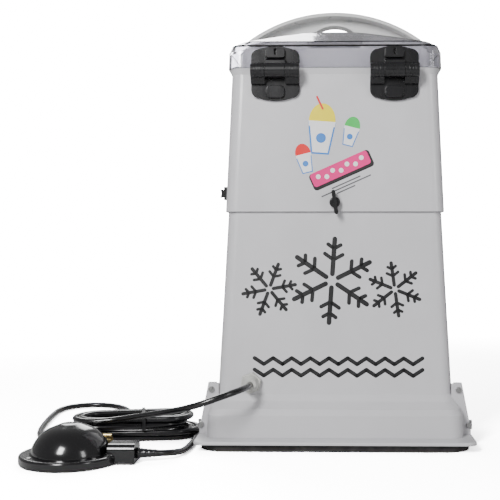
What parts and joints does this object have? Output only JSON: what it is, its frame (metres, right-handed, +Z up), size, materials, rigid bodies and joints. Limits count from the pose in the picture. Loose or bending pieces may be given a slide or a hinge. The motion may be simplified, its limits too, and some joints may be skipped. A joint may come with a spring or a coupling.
{
  "type": "shaved ice machine",
  "caption": "Tall tapered counter-top ice shaver with a hinged clear hopper lid, arched front cover, drip tray and a dome foot switch on a lead.",
  "frame": {"origin": "centre of the machine's base footprint on the table, at the underside of its mat; the foot switch and leads lie at +X and +Y of it", "axes": "+Z up, front faces -Y, +X to the right seen from the front"},
  "size_m": [0.6544, 0.5265, 0.6799],
  "materials": {
    "mat_rubber": "matt black rubber",
    "housing_plastic": "light grey moulded plastic, satin gloss",
    "cover_plastic": "off-white moulded plastic",
    "clear_plastic": "clear moulded plastic",
    "black_plastic": "black nylon",
    "black_gloss": "glossy black plastic",
    "lead_black": "glossy black lead jacket",
    "nylon_white": "natural nylon",
    "steel": "zinc plated steel",
    "stainless": "brushed stainless sheet",
    "cast_aluminium": "cast aluminium",
    "motor_paint": "dark painted motor casing",
    "brass_pins": "plated brass"
  },
  "bodies": {
    "machine": {"base_mat": "mat_rubber", "base_tray": "housing_plastic", "blade_plate": "stainless", "blade_screws": "steel", "clip_nuts": "steel", "cord_gland": "nylon_white", "cover_screws": "steel", "cradle_bolts": "steel", "deck_plate": "cast_aluminium", "deck_posts": "steel", "ear_screws": "steel", "foot_base": "black_gloss", "foot_bottom_plate": "black_gloss", "foot_micro_switch": "black_plastic", "foot_screws": "steel", "foot_spring": "steel", "front_cover": "cover_plastic", "gland_locknut": "nylon_white", "hinge_lower_leaves": "black_plastic", "hinge_pins": "steel", "hopper_funnel": "cover_plastic", "ice_drum": "cast_aluminium", "knob_nut": "steel", "lead_tie": "lead_black", "lower_housing": "housing_plastic", "motor_body": "motor_paint", "motor_cradle": "stainless", "motor_end_cap": "motor_paint", "panel_screws": "steel", "power_lead": "lead_black", "power_lead_hank": "lead_black", "power_lead_tail": "lead_black", "power_plug": "lead_black", "power_plug_prongs": "brass_pins", "run_capacitor": "cast_aluminium", "shaft_bearing": "steel", "shaving_blades": "steel", "snow_chute": "stainless", "splash_panel": "stainless", "switch_housing": "black_plastic", "switch_lead": "lead_black", "switch_lead_hank": "lead_black", "switch_lead_loop": "lead_black", "switch_plug": "lead_black", "switch_plug_prongs": "brass_pins", "terminal_block": "black_plastic", "upper_housing": "housing_plastic"},
    "lid": {"lid": "clear_plastic", "hinge_upper_leaves": "black_plastic", "hinge_caps": "black_plastic"},
    "rotor": {"motor_shaft": "steel", "impeller": "cast_aluminium", "impeller_nut": "steel"},
    "wing_knob": {"wing_knob": "black_plastic"},
    "rocker": {"switch_rocker": "black_plastic"},
    "dome": {"foot_dome": "black_gloss"},
    "drip_tray": {"drip_tray": "stainless", "drip_grid": "stainless"}
  },
  "joints": [
    {"name": "lid_hinge", "type": "hinge", "parent": "machine", "child": "lid", "pos_m": [0, 0.1485, 0.5216], "axis": [-1, 0, 0], "range_deg": [0, 110]},
    {"name": "impeller_spin", "type": "hinge", "parent": "machine", "child": "rotor", "pos_m": [0, -0.06, 0.29], "axis": [0, 1, 0], "continuous": true},
    {"name": "wing_knob_turn", "type": "hinge", "parent": "machine", "child": "wing_knob", "pos_m": [0, 0.141, 0.3377], "axis": [0, 1, 0], "continuous": true},
    {"name": "power_rocker", "type": "hinge", "parent": "machine", "child": "rocker", "pos_m": [0.15985, 0.104, 0.3525], "axis": [0, 1, 0], "range_deg": [-8, 8]},
    {"name": "foot_press", "type": "slide", "parent": "machine", "child": "dome", "axis": [0, 0, -1], "range_m": [0, 0.003], "stiffness_N_per_m": 4000, "springref_m": -0.004, "deforming": ["foot_spring"]},
    {"name": "drip_tray_slide", "type": "slide", "parent": "machine", "child": "drip_tray", "axis": [0, -1, 0], "range_m": [0, 0.14]}
  ]
}
